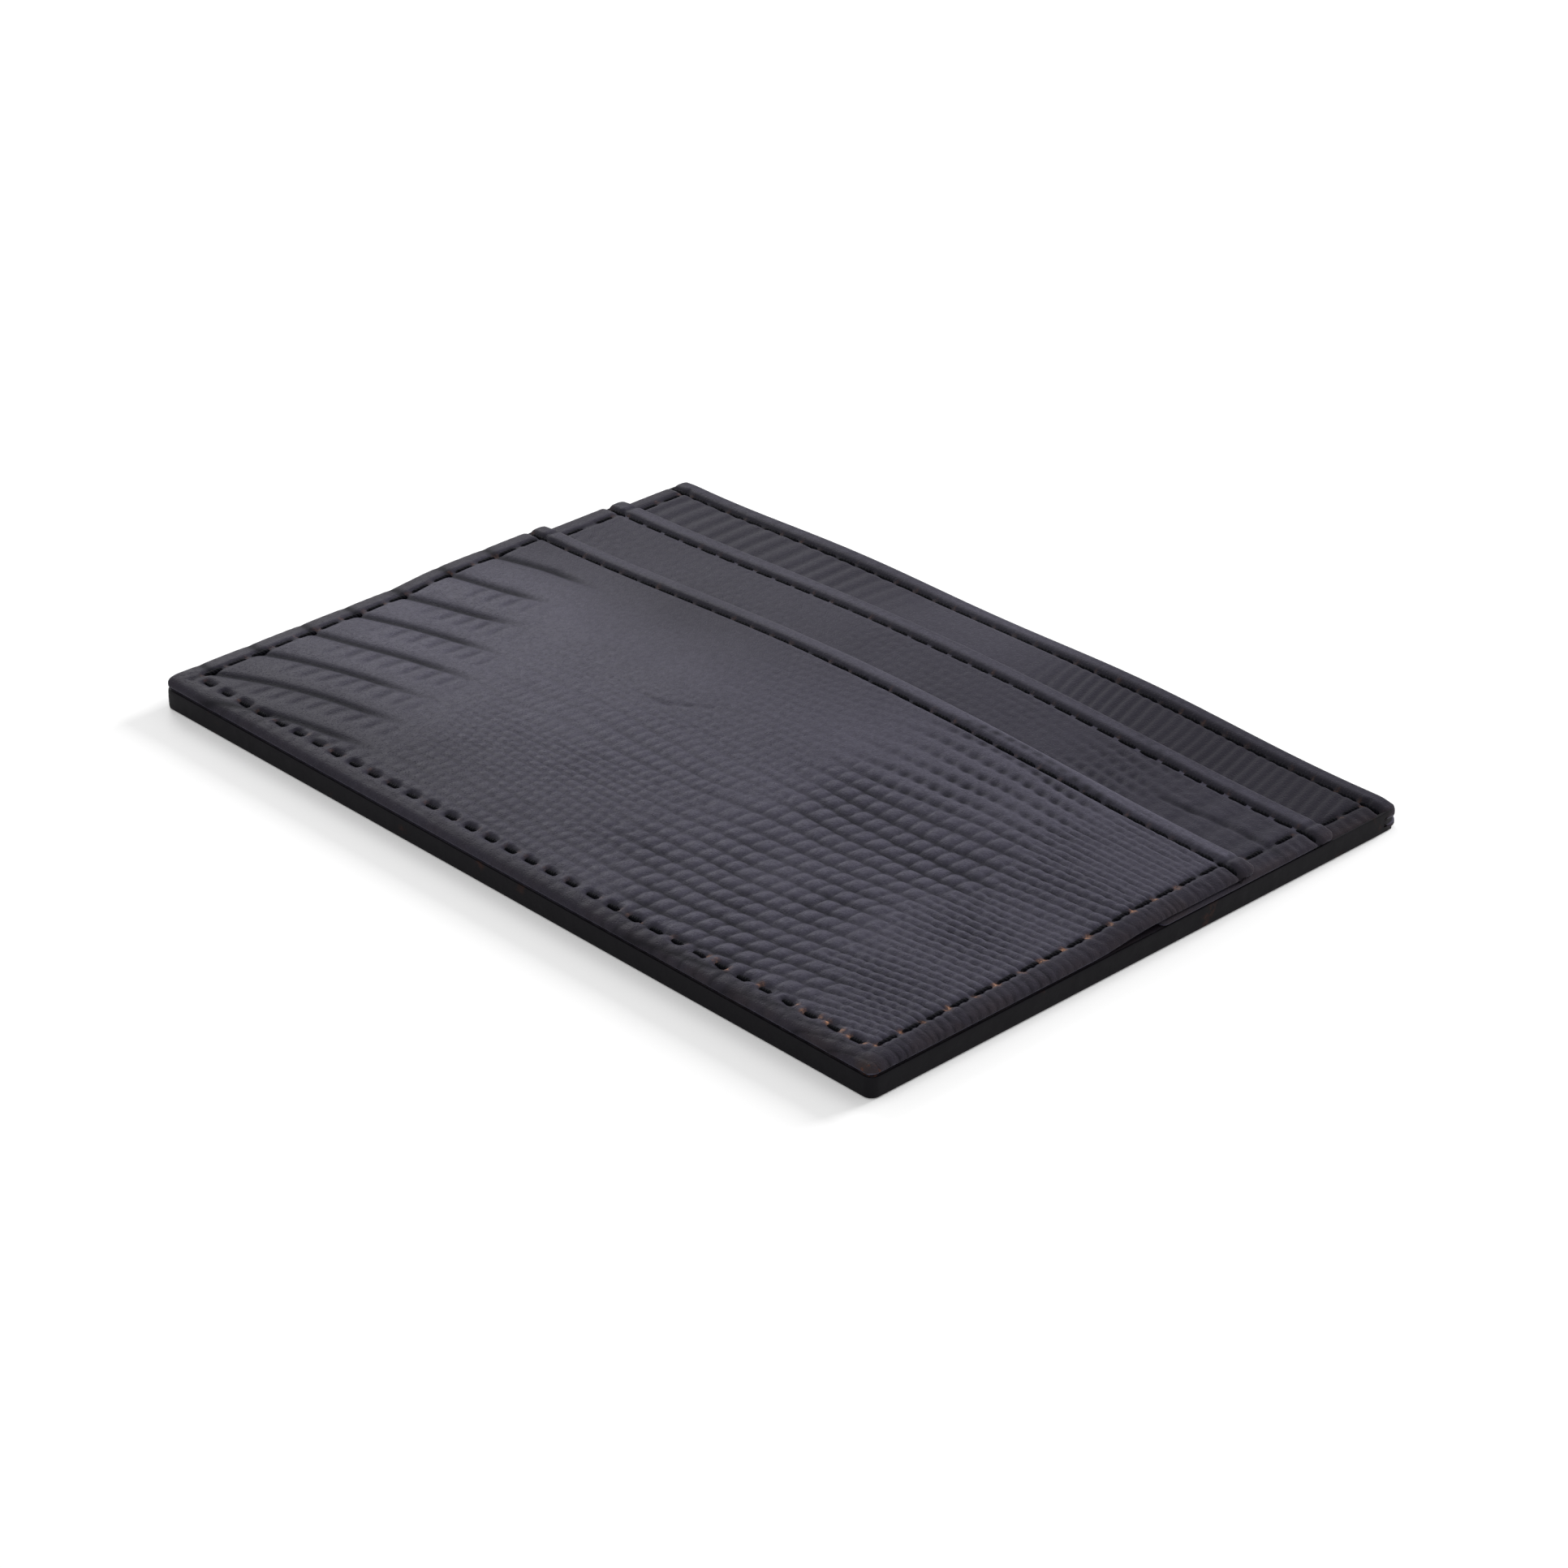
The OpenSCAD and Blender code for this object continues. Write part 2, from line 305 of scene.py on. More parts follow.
def row_level(x, down):
    """The level whose whole multiples are the rows: distance down plus how far the rows have climbed
    at x, shared between the two guide rows on either side. A guide row is the least-squares
    polynomial of degree six near its points."""
    share = np.interp(down, [row[0] for row in GUIDE_ROWS], range(len(GUIDE_ROWS)))
    level = down + 0.30 * noise(x, down, 9.0, 3) + 0.10 * noise(x, down, 3.0, 4)
    for number, (_, climbs) in enumerate(GUIDE_ROWS):
        curve = np.polynomial.Polynomial.fit(GUIDE_X, climbs, 6)
        level = level + curve(np.maximum(x, GUIDE_X[0])) * clamp(1 - np.abs(share - number))
    return level


# Pitch of the rows, and of the beads, blocks and fine scales along them.
ROW = 2.33
BEAD = 1.78
BLOCK = 1.9
FINE_ROW = 1.5
FINE_BEAD = 1.4
# Pitch of the belly plates, where the first one starts, and the pitch of their ribs.
PLATE = 6.15
PLATE_START = 28.7
PLATE_RIB = 2.2


def pits(level, run, row, bead, sharp_row, sharp_bead, wall, seed):
    """Pits in rows: a hollow across each row line, deepened at each bead along it.
    wall is the share of the depth that the line keeps between two pits."""
    line = level / row
    place = run / bead + row_shift(line, seed)
    return hollow(line, sharp_row) * (wall + (1 - wall) * hollow(place, sharp_bead))


def domes(level, run, row, bead, gap, seed):
    """Rounded scales in rows, deepest along the row lines and at gap times that depth between two
    scales: 1 - (1 - |2u|^2.5) (1 - gap |2v|^2.7) with u and v as shares from a scale's middle."""
    line = level / row - 0.5
    place = run / bead + row_shift(line, seed)
    u, v = line - np.round(line), place - np.round(place)
    return 1 - (1 - np.abs(2 * u) ** 2.5) * (1 - gap * np.abs(2 * v) ** 2.7)


def belly_plates(x, down):
    """Wide plates on the left: soft creases that rise to the right and fade, a dome between two
    creases, and a row of upright ribs below each crease."""
    rise = (2.4 + 0.116 * (down - PLATE_START)) * (1 - (1 - clamp((x - 3) / 24)) ** 2)
    phase = (down + rise + 0.5 * noise(x, down, 9.0, 16) - PLATE_START) / PLATE
    below = phase - np.floor(phase)
    fades = 9 + 0.30 * (down - PLATE_START) + 3 * noise(x, down, 8.0, 8)
    near = (1 - ease((x - fades) / 10)) * ease((down - 24.5) / 3)
    crease = bell((phase - np.round(phase)) * PLATE / 0.52)
    dome = np.abs(2 * below - 1) ** 2
    rib = hollow((x + 0.3 * noise(x, down, 4.0, 17)) / PLATE_RIB + row_shift(phase - 0.5, 14), 2.5)
    window = ease((below - 0.04) / 0.14) * (1 - ease((below - 0.42) / 0.25))
    ribs = rib * window * ease((x - 5) / 4) * (1 - ease((x - fades - 3) / 7))
    return near * (0.66 * crease + 0.45 * dome) + 0.42 * ribs * ease((down - 30) / 6)


def lizard_face(x, down):
    """Depth of the relief at x from the left edge and down from the open edge, as a share: pits in
    rows at the upper right, rounded scales below them and blocks lowest, all split into fine rows
    at the right edge, with faint rows and one wavy kink in the middle and belly plates on the left."""
    level = row_level(x, down)
    run = x + 0.12 * down + 0.30 * noise(x, down, 4.0, 5)
    upper = pits(level, run, ROW, BEAD, 1.9, 1.0, 0.50, 11)
    lower = domes(level, run, ROW, BEAD, 0.72, 11)
    blocks = 1.1 * domes(level, run, ROW, BLOCK, 0.80, 15)
    split = domes(level, run, ROW / 2, FINE_BEAD, 0.35, 12) * (0.72 + 0.25 * ease((down - 24) / 8))
    strength = 0.08 + 0.14 * ease((x - 38) / 8) + 0.36 * ease((down - 34) / 12)
    fine = domes(level, run, FINE_ROW, FINE_BEAD, 0.6, 13) * strength

    at_beads = ease((x - 53 - 5 * noise(x, down, 14.0, 6)) / 13)
    at_lower = ease((down - 31 + 4 * noise(x, down, 10.0, 10)) / 9)
    at_blocks = ease((down - 59.5) / 3) * ease((x - 68) / 5) * (1 - ease((x - 87) / 5))
    at_split = ease((x - 82 + 3 * noise(x, down, 7.0, 7)) / 6) * (1 - at_blocks)
    patchy = 0.90 + 0.30 * noise(x, down, 6.0, 9)

    beads = mix(mix(upper, lower, at_lower), blocks, at_blocks)
    right = mix(beads, split, at_split)
    middle = fine * ease((x - 14 - 0.2 * (down - 28)) / 12)
    kink = bell((down - 39.4 + 0.035 * (x - 38) ** 2 - 0.5 * np.sin(x / 1.9)) / 0.35) * bell((x - 41) / 4.5)
    return patchy * mix(middle, right, at_beads) + belly_plates(x, down) + 0.30 * kink


def ribbed_strip(x, down):
    """Relief of the base panel's strip: upright ribs, wide on the left, fine and leaning on the right."""
    lean = -0.30 * down * ease((x - 50) / 15)
    wide = hollow((x + 0.5 * noise(x, down, 6.0, 21)) / 2.2, 1.3) * (1 - ease((x - 28) / 16))
    fine = hollow((x + lean + 0.25 * noise(x, down, 5.0, 22)) / 1.35, 1.2) * ease((x - 54) / 10)
    return 0.34 * wide + 0.36 * fine * (0.8 + 0.3 * noise(x, down, 7.0, 23))


def grained_strip(x, down):
    """Relief of the middle pocket's strip: faint level grain, small beads and a wrinkle at the right."""
    level = down - 0.04 * x + 0.3 * noise(x, down, 8.0, 31)
    grain = domes(level, x, 1.3, 1.5, 0.8, 34) * (0.16 + 0.10 * noise(x, down, 5.0, 35))
    beads = pits(level - 0.12 * (x - 75), x, 1.7, 1.6, 1.3, 0.8, 0.3, 32) * bell((x - 79) / 6) * 0.55
    wrinkle = bell((down - 16.6 + 0.04 * (x - 84) - 0.3 * np.sin(x / 3.1)) / 0.40) * ease((x - 82) / 5) * 0.60
    ribs = hollow((x + 0.3 * noise(x, down, 4.0, 33)) / 3.4, 1.5) * ease((x - 83) / 5) * 0.25
    return grain + beads + wrinkle + ribs


def lizard_back(x, down):
    """Relief of the back: rows of beads that arch along the panel, fading to plates at one side."""
    level = down + 3.0 * np.sin(x / 21.0) + 0.35 * noise(x, down, 9.0, 41)
    run = x + 0.25 * noise(x, down, 4.0, 42)
    beads = domes(level, run, ROW, BEAD, 0.55, 43)
    fine = domes(level, run, ROW / 2, FINE_BEAD, 0.40, 44)
    share = ease((x - 38 + 6 * noise(x, down, 12.0, 45)) / 30)
    return (0.8 + 0.3 * noise(x, down, 7.0, 46)) * (beads * (1 - share) + 0.5 * fine * share)


# ---------------------------------------------------------------- stitch lines


def stitch_middles(start, end, pitch):
    """Middles of the stitches that fit between two ends of a line."""
    count = max(1, int((end - start) / pitch))
    return start + (np.arange(count) + 0.5) * (end - start) / count


# How far a run of stitches stays from the lines that it meets.
STITCH_CLEAR = 0.4


def seam_runs(h):
    """The three runs of a side seam, which stop short of the mouth lines that they meet."""
    return [
        (h.y_seam + STITCH_CLEAR, h.front - h.mouth_seam - STITCH_CLEAR),
        (h.front + STITCH_CLEAR / 2, h.middle - h.mouth_seam - STITCH_CLEAR),
        (h.middle + STITCH_CLEAR / 2, h.open - h.mouth_seam - STITCH_CLEAR),
    ]


def side_middles(h):
    """Middles of all the stitches of one side seam."""
    return np.concatenate([stitch_middles(a, b, h.stitch_pitch) for a, b in seam_runs(h)])


def closed_middles(h):
    """Middles of the stitches along the closed edge."""
    return stitch_middles(-h.x_seam + STITCH_CLEAR, h.x_seam - STITCH_CLEAR, h.stitch_pitch)


def mouth_middles(h):
    """Middles of the stitches of a line right across the holder."""
    return stitch_middles(-h.half + STITCH_CLEAR, h.half - STITCH_CLEAR, h.stitch_pitch)


def nearest(values, places):
    """Signed distance of each value from the nearest of the sorted places, and that place's number."""
    right = np.clip(np.searchsorted(places, values), 1, len(places) - 1)
    left = right - 1
    pick = np.where(values - places[left] < places[right] - values, left, right)
    return values - places[pick], pick


# How one kind of stitch line marks the leather. reach is half the thread that shows, width half the
# dimple's width, depth its depth, and bridge the share of it kept between two stitches.
Seam = namedtuple("Seam", "reach width depth bridge")
SIDE = Seam(1.10, 0.34, 0.28, 0.60)
CLOSED = Seam(0.70, 0.50, 0.42, 0.18)
MOUTH = Seam(1.15, 0.36, 0.28, 0.75)


def stitch_marks(seam, u, v, middles, line, pitch, seed):
    """What one line of stitches does to the leather, with u along it and v across it. Returns the
    dent, its share of the full depth, and the bare fibre beside the holes."""
    off, pick = nearest(u, middles)
    inside = (u > middles[0] - pitch) & (u < middles[-1] + pitch)
    cross = v - line
    under = ease((seam.reach + 0.25 - np.abs(off)) / 0.35)
    share = bell(cross / seam.width) * (seam.bridge + (1 - seam.bridge) * under) * inside
    hole = np.abs(off) - seam.reach - 0.1
    chance = row_shift(2 * pick + (off > 0), seed)
    place = 0.9 * (row_shift(3 * pick + (off > 0), seed + 1) - 0.3)
    fibre = bell((cross - place * 0.5) / 0.26) * bell((hole - 0.12) / 0.22)
    return seam.depth * share, share, fibre * np.where(chance > 0.40, chance, 0) * inside


# ---------------------------------------------------------------- meshes


def edge_steps(radius):
    """Distances in from an edge that sample a quarter round evenly: r (1 - cos)."""
    return radius * (1 - np.cos(np.linspace(0, np.pi / 2, 7)))


# Spacing of the points of a sheet's plain side, and of what no eye reaches on the other.
COARSE = 2.0


def grid_lines(start, end, radius, spacing, fine=None):
    """Grid lines from start to end, close together over the rounding at both ends.
    Where fine = (a, b) is given, only that stretch has the close spacing. Returns the lines and
    which of them the plain side of a sheet keeps."""
    near, far = start + edge_steps(radius), end - edge_steps(radius)[::-1]
    a, b = near[-1], far[0]
    cuts = [a] + ([min(max(c, a), b) for c in fine] if fine else []) + [b]
    gaps = [COARSE, spacing, COARSE] if fine else [spacing]
    inner, kept = [], []
    for lo, hi, gap in zip(cuts[:-1], cuts[1:], gaps):
        if hi - lo < 1e-6:
            continue
        every = max(1, round(COARSE / gap))
        count = every * max(1, round((hi - lo) / (gap * every)))
        inner.append(np.linspace(lo, hi, count + 1)[1:])
        kept.append(np.arange(1, count + 1) % every == 0)
    lines = np.concatenate([near, *inner, far[1:]])
    keep = np.concatenate([np.ones(len(near), bool), *kept, np.ones(len(far) - 1, bool)])
    return lines, keep


def side_polygons(ids, below, kept, flip):
    """The cells of the plain side that touch one border, each with all the border's points.
    ids is the border's line of points, below the kept line next to it, kept where lines are kept."""
    at = np.flatnonzero(kept)
    faces = []
    for a, b in zip(at[:-1], at[1:]):
        ring = [*ids[a:b + 1], below[b], below[a]]
        faces.append(ring[::-1] if flip else ring)
    return faces


def closed_sheet(cols, rows, keep_cols, keep_rows, place, face, plain):
    """A closed sheet over a grid. place(x, y) gives the plan position, face(x, y) the height of the
    embossed side on every grid line, and plain(x, y) that of the other side on the kept lines.
    Both sides share the border's points. Faces point up on the embossed side. A corner cell of the
    plain side is cut away from the corner, where the other side's cell is cut through it."""
    nc, nr = len(cols), len(rows)
    x, y = np.meshgrid(cols, rows)
    px, py = place(x, y)
    top = np.stack([px, py, face(px, py, x, y)], -1)
    ids = np.arange(nr * nc).reshape(nr, nc)
    border = np.zeros((nr, nc), bool)
    border[[0, -1], :] = True
    border[:, [0, -1]] = True
    kept = np.outer(keep_rows, keep_cols) & ~border
    low = np.full((nr, nc), -1)
    low[border] = ids[border]
    low[kept] = nr * nc + np.arange(kept.sum())
    under = np.stack([px, py, plain(px, py, x, y)], -1)[kept]
    quads = np.stack([ids[:-1, :-1], ids[:-1, 1:], ids[1:, 1:], ids[1:, :-1]], -1).reshape(-1, 4)
    r, c = np.flatnonzero(keep_rows), np.flatnonzero(keep_cols)
    grid = low[np.ix_(r, c)]
    cells = np.stack([grid[:-1, :-1], grid[1:, :-1], grid[1:, 1:], grid[:-1, 1:]], -1)
    inner = cells[1:-1, 1:-1].reshape(-1, 4)
    corners = cells[[0, 0, -1, -1], [0, -1, 0, -1]]
    faces = quads.tolist() + inner.tolist()
    for cell, turn in zip(corners, (0, 1, 1, 0)):
        first, second, third, fourth = np.roll(cell, -turn).tolist()
        faces += [[first, second, third], [first, third, fourth]]
    ends = slice(c[1], c[-2] + 1)
    sides = slice(r[1], r[-2] + 1)
    faces += side_polygons(ids[0, ends], low[r[1], ends], keep_cols[ends], True)
    faces += side_polygons(ids[-1, ends], low[r[-2], ends], keep_cols[ends], False)
    faces += side_polygons(ids[sides, 0], low[sides, c[1]], keep_rows[sides], False)
    faces += side_polygons(ids[sides, -1], low[sides, c[-2]], keep_rows[sides], True)
    return np.concatenate([top.reshape(-1, 3), under]), faces, (x, y)


def make_piece(name, points, faces, material, nodes=(), marks=None, uv=None):
    """A smooth mesh object from points in millimetres, riding on the holder's body.
    marks are named values, one a point, and uv is one pair a point."""
    mesh = bpy.data.meshes.new(name)
    mesh.from_pydata((points * MM).tolist(), [], faces)
    mesh.polygons.foreach_set("use_smooth", np.ones(len(mesh.polygons), bool))
    for mark, values in (marks or {}).items():
        full = np.zeros(len(points), np.float32)
        full[:values.size] = values.ravel()
        mesh.attributes.new(mark, "FLOAT", "POINT").data.foreach_set("value", full)
    if uv is not None:
        corner = np.empty(len(mesh.loops), int)
        mesh.loops.foreach_get("vertex_index", corner)
        mesh.uv_layers.new(name="turn").data.foreach_set("uv", uv[corner].astype(np.float32).ravel())
    mesh.update()
    obj = bpy.data.objects.new(name, mesh)
    bpy.context.scene.collection.objects.link(obj)
    mesh.materials.append(material)
    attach(obj, BODY)
    if nodes:
        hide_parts(*nodes)


def tubes(middles, directions, half_length, radius, sink, sides=6, rings=9):
    """Short threads that dive into the leather at both ends, one for each middle point.
    At s from -1 to 1 along a thread its centre is m + s L d - (sink + 0.55 s^6) up, and its ring is
    radius (cos a, sin a) across, thinner toward the ends and ribbed as the plies are."""
    s = np.linspace(-1, 1, rings)
    a = np.arange(sides) * 2 * np.pi / sides
    side = np.stack([-directions[:, 1], directions[:, 0], np.zeros(len(directions))], -1)
    up = np.cross(directions, side)
    forward = half_length * s[None, :, None] * directions[:, None]
    dive = (sink + 0.55 * s ** 6)[None, :, None] * up[:, None]
    centre = middles[:, None] + forward - dive
    thick = radius * (1 - 0.25 * s ** 4)[None, :, None, None]
    ply = 1 + 0.10 * np.cos(2 * a[None, :] - 5.0 * s[:, None])
    ring = np.cos(a)[:, None] * side[:, None, None] + np.sin(a)[:, None] * up[:, None, None]
    points = centre[:, :, None] + thick * ply[None, :, :, None] * ring
    n = len(middles)
    ids = np.arange(n * rings * sides).reshape(n, rings, sides)
    following = np.roll(ids, -1, axis=2)
    quads = np.stack([ids[:, :-1], following[:, :-1], following[:, 1:], ids[:, 1:]], -1).reshape(-1, 4)
    caps = np.concatenate([ids[:, 0, ::-1], ids[:, -1]])
    uv = np.stack(np.broadcast_arrays((a / (2 * np.pi))[None, None], s[None, :, None], ids)[:2], -1)
    return points.reshape(-1, 3), quads.tolist() + caps.tolist(), uv.reshape(-1, 2)


# ---------------------------------------------------------------- leather panels


def rounding(radius, d):
    """What a circle takes off a corner at distance d from it: r - sqrt(r^2 - (r - d)^2)."""
    gap = np.clip(radius - d, 0, radius)
    return radius - np.sqrt(radius * radius - gap * gap)


def roll_drop(d, radius, thickness):
    """How far a rolled edge of a sheet has dropped toward mid-thickness at distance d from its edge:
    t/2 (1 - (1 - c^n)^(1/n)) with c = 1 - d/r and n = 2.3."""
    c = clamp(1 - d / radius)
    return thickness / 2 * (1 - (1 - c ** 2.3) ** (1 / 2.3))


class Sheet:
    """The plan of one sheet: a rectangle with rounded corners, and distances from its edges. roll is
    the radius that its edges are rounded over."""

    def __init__(self, half, low, high, corner, roll):
        self.half, self.low, self.high, self.corner, self.roll = half, low, high, corner, roll

    def place(self, x, y):
        """Narrows each row near the corners to the arc's width."""
        cut = rounding(self.corner, y - self.low) + rounding(self.corner, self.high - y)
        return x * (1 - cut / self.half), y

    def edge(self, x, y):
        """Distance in from the nearest edge, at the grid's own x and y."""
        px, _ = self.place(self.half, y)
        ends = np.minimum(y - self.low, self.high - y)
        return np.minimum((self.half - np.abs(x)) * px / self.half, ends)

    def sewn_edge(self, x, y):
        """Distance in from the nearest of the two sides and the closed edge."""
        return np.minimum(self.half - np.abs(x), y - self.low)


def build_sheet(sheet, top_z, under_z, spacing, fine=None, flip=False, dents=None, marks=None):
    """Points, faces and marks of a sheet between top_z(x, y) and under_z(x, y, side distance).
    dents(x, y, edge) is taken off the embossed side, which looks down where flip is set."""
    cols, keep_cols = grid_lines(-sheet.half, sheet.half, sheet.roll, spacing)
    rows, keep_rows = grid_lines(sheet.low, sheet.high, max(sheet.roll, sheet.corner), spacing, fine)

    def side(px, py, x, y, up):
        top, under = top_z(px, py), under_z(px, py, sheet.sewn_edge(x, y))
        drop = roll_drop(sheet.edge(x, y), sheet.roll, top - under)
        return top - drop if up else under + drop

    def face(px, py, x, y):
        depth = dents(px, py, sheet.edge(x, y)) if dents else 0.0
        return side(px, py, x, y, not flip) + (depth if flip else -depth)

    def plain(px, py, x, y):
        return side(px, py, x, y, flip)

    points, faces, (x, y) = closed_sheet(cols, rows, keep_cols, keep_rows, sheet.place, face, plain)
    if flip:
        faces = [f[::-1] for f in faces]
    return points, faces, marks(*sheet.place(x, y)) if marks else {}


def rim(floor, inner, d, rim_w):
    """Underside that reaches down to floor within rim_w of a sewn edge, and is at inner beyond it."""
    return floor + (inner - floor) * ease((d - rim_w + 0.25) / 0.5)


def lip_shape(h, d, edge):
    """The rounded lip at a turned mouth, at distance d in from it: a half sine up to the stitch line,
    which dies out over the border."""
    return h.lip * np.sin(np.pi * clamp(d / (h.mouth_seam - 0.1))) ** 0.8 * ease((edge - 0.8) / 2)


def border_creases(x, y, edge, seed):
    """Fine cross folds in the rolled border, where the leather is gathered round the edge."""
    low = -y > np.abs(x) - 15
    fold = hollow((np.where(low, x, y) + 0.4 * noise(x, y, 2.0, seed)) / np.where(low, 1.9, 1.3), 1.2)
    right = 0.35 + 0.65 * ease((x + 5) / 30)
    return 0.10 * fold * bell((edge - 0.9) / 0.9) * right * (0.7 + 0.4 * noise(x, y, 5.0, seed + 1))


def seam_lines(h, x, y, mouth, seed):
    """The dent, share and fibre of the side, closed and mouth stitch lines, in that order."""
    pitch, mouth_line = h.stitch_pitch, mouth - h.mouth_seam
    return (
        stitch_marks(SIDE, y, np.abs(x), side_middles(h), h.x_seam, pitch, seed + (x > 0).astype(int)),
        stitch_marks(CLOSED, x, y, closed_middles(h), h.y_seam, pitch, seed + 5),
        stitch_marks(MOUTH, x, y, mouth_middles(h), mouth_line, pitch, seed + 8),
    )


def face_marks(h, x, y, pattern, mouth, shade, seed):
    """Marks of one embossed face, from 0 to 1: painted shade in the pits, the stitch dimples and the
    mouth groove; the piece's painted shade, more over the border and less on the lip, where a painted
    highlight lies; wear at the rolled edges; and bare fibre at the needle holes."""
    side, closed, turned = seam_lines(h, x, y, mouth, seed)
    sewn = np.minimum(h.half - np.abs(x), y - h.closed)
    low_right = ease((x - 5) / 35)
    side_worn = (x > 0) * ease((12 - y) / 12) + 0.15
    closed_worn = 0.12 + 0.88 * low_right ** 2
    corner = bell(np.hypot(x - h.half, y - h.closed) / 1.5)
    wear = 0.40 * bell(sewn / 0.8) + 0.12 * bell((sewn - 1.2) / 1.2)
    # Painted shade along the groove of the mouth's stitch line.
    groove = 0.75 * bell((mouth - y - h.mouth_seam) / 0.42)
    # Where a painted highlight lies on the lip.
    lip = bell((mouth - y - 0.8) / 0.6)
    # Painted shade, deepest in the grain's hollows.
    grain = clamp(pattern(x, y)) ** 1.5
    # Painted shade over the border that falls toward the sewn edges.
    border = 0.72 * (1 - ease((sewn - 1.0) / 2.2))
    return {
        # Painted shade in the hollows, the stitch dimples and the mouth groove.
        "pit": clamp(np.maximum.reduce([grain, side[1], closed[1], turned[1], groove])),
        # The piece's painted shade, lightened by painted highlight on the lip and darkened over the border.
        "shade": clamp(np.maximum(shade(x, y) - 0.30 * lip, border)),
        "wear": clamp(wear * (0.4 + 0.6 * low_right) + corner),
        "fleck": clamp(side[2] * side_worn + closed[2] * closed_worn + 0.12 * turned[2]),
    }


def face_dents(h, x, y, edge, pattern, mouth, seed):
    """All that is pressed into one embossed face, in millimetres: the grain, which dies out at the
    border and the lip, the seam lines with their stitches, and the folds of the rolled border. The
    lip stands out."""
    from_mouth = mouth - y
    inner = 0.22 + 0.78 * ease((edge - 1.5) / 1.2)
    off_lip = 0.12 + 0.88 * ease((from_mouth - h.mouth_seam + 0.2) / 0.9)
    side, closed, turned = seam_lines(h, x, y, mouth, seed)
    grain = h.relief * pattern(x, y) * inner * off_lip
    groove = 0.20 * bell((from_mouth - h.mouth_seam) / 0.42) * (1 + 0.6 * bell(edge / 2.2))
    folds = border_creases(x, y, edge, seed + 30) * off_lip
    uneven = 0.05 * noise(x, y, 11.0, seed + 20) * ease(edge / 3)
    stitches = np.maximum(side[0], closed[0]) + turned[0]
    return grain + stitches + groove - lip_shape(h, from_mouth, edge) + folds + uneven


# The back lies face down, so its points are this much further apart.
BACK_GRID = 1.25


def leather_piece(h, node, sheet, top_z, under_z, relief, shade, material, seed, fine=None, flip=False):
    """One leather panel between top_z(h, x, y) and under_z(x, y, side distance), and the marks that
    its finish reads. relief(x, down) is the depth of the grain on its embossed face, and the shading
    function gives its tone with painted shade, low where a painted highlight lies, both from 0 to 1."""

    def pattern(x, y):
        return relief(x + h.half, h.open - y)

    points, faces, marks = build_sheet(
        sheet, partial(top_z, h), under_z, h.grid * (BACK_GRID if flip else 1), fine, flip,
        dents=lambda x, y, edge: face_dents(h, x, y, edge, pattern, sheet.high, seed),
        marks=lambda x, y: face_marks(h, x, y, pattern, sheet.high, shade, seed),
    )
    make_piece(node + "_leather", points, faces, material, (node,), marks)


# ---------------------------------------------------------------- finishes


def maths(operation, swapped=False):
    """A method that adds one Math node. Where swapped is set, the other value comes first."""

    def method(self, other=0.0):
        first, second = (other, self) if swapped else (self, other)
        return self.finish.node("ShaderNodeMath", {"operation": operation}, {0: first, 1: second})

    return method


class Wire:
    """A socket whose arithmetic adds Math nodes, so that a formula reads as one."""

    def __init__(self, finish, socket):
        self.finish = finish
        self.socket = socket

    __add__ = maths("ADD")
    __radd__ = maths("ADD", True)
    __sub__ = maths("SUBTRACT")
    __rsub__ = maths("SUBTRACT", True)
    __mul__ = maths("MULTIPLY")
    __rmul__ = maths("MULTIPLY", True)
    most = maths("MAXIMUM")
    sine = maths("SINE")

    def step(self, low, high):
        """0 below low and 1 above high, smooth between."""
        values = {"Value": self, "From Min": low, "From Max": high}
        return self.finish.node("ShaderNodeMapRange", {"interpolation_type": "SMOOTHSTEP"}, values)


class Finish:
    """A material or world under construction: one method adds any node."""

    def __init__(self, owner):
        self.owner = owner
        owner.use_nodes = True
        self.tree = owner.node_tree
        self.tree.nodes.clear()

    def node(self, kind, settings=None, sockets=None, output=0):
        """Adds a node: its settings first, then values or links for its sockets. Returns one output."""
        made = self.tree.nodes.new(kind)
        for key, value in (settings or {}).items():
            setattr(made, key, value)
        for key, value in (sockets or {}).items():
            if isinstance(value, Wire):
                self.tree.links.new(value.socket, made.inputs[key])
            else:
                made.inputs[key].default_value = value
        return Wire(self, made.outputs[output]) if made.outputs else made

    def blend(self, share, first, second):
        """The first colour where share is 0, the second where it is 1."""
        ends = {0: share, 6: first, 7: second}
        return self.node("ShaderNodeMix", {"data_type": "RGBA", "clamp_factor": True}, ends, output=2)

    def mark(self, name):
        """A named value of the mesh."""
        return self.node("ShaderNodeAttribute", {"attribute_name": name}, output="Fac")

    def ray(self, name):
        """1 for light rays of the named kind, such as Is Camera Ray."""
        return self.node("ShaderNodeLightPath", output=name)

    def place(self):
        """Object coordinates, in metres."""
        return self.node("ShaderNodeTexCoord", output="Object")

    def parts(self, vector):
        """The first two numbers of a vector."""
        return [self.node("ShaderNodeSeparateXYZ", None, {0: vector}, output) for output in (0, 1)]

    def cloud(self, size, detail=2.0, roughness=0.5):
        """Noise from 0 to 1 whose blobs are about size millimetres across."""
        values = {"Vector": self.place(), "Scale": 1 / (size * MM), "Detail": detail, "Roughness": roughness}
        return self.node("ShaderNodeTexNoise", None, values, output="Fac")

    def cells(self, size):
        """Distance to the nearest cell point, for cells about size millimetres across."""
        values = {"Vector": self.place(), "Scale": 1 / (size * MM)}
        return self.node("ShaderNodeTexVoronoi", {"feature": "F1"}, values, output="Distance")

    def bump(self, height):
        """A normal bent by height, which stands for a twentieth of a millimetre at 1."""
        return self.node("ShaderNodeBump", None, {"Height": height, "Distance": 0.05 * MM}, output="Normal")


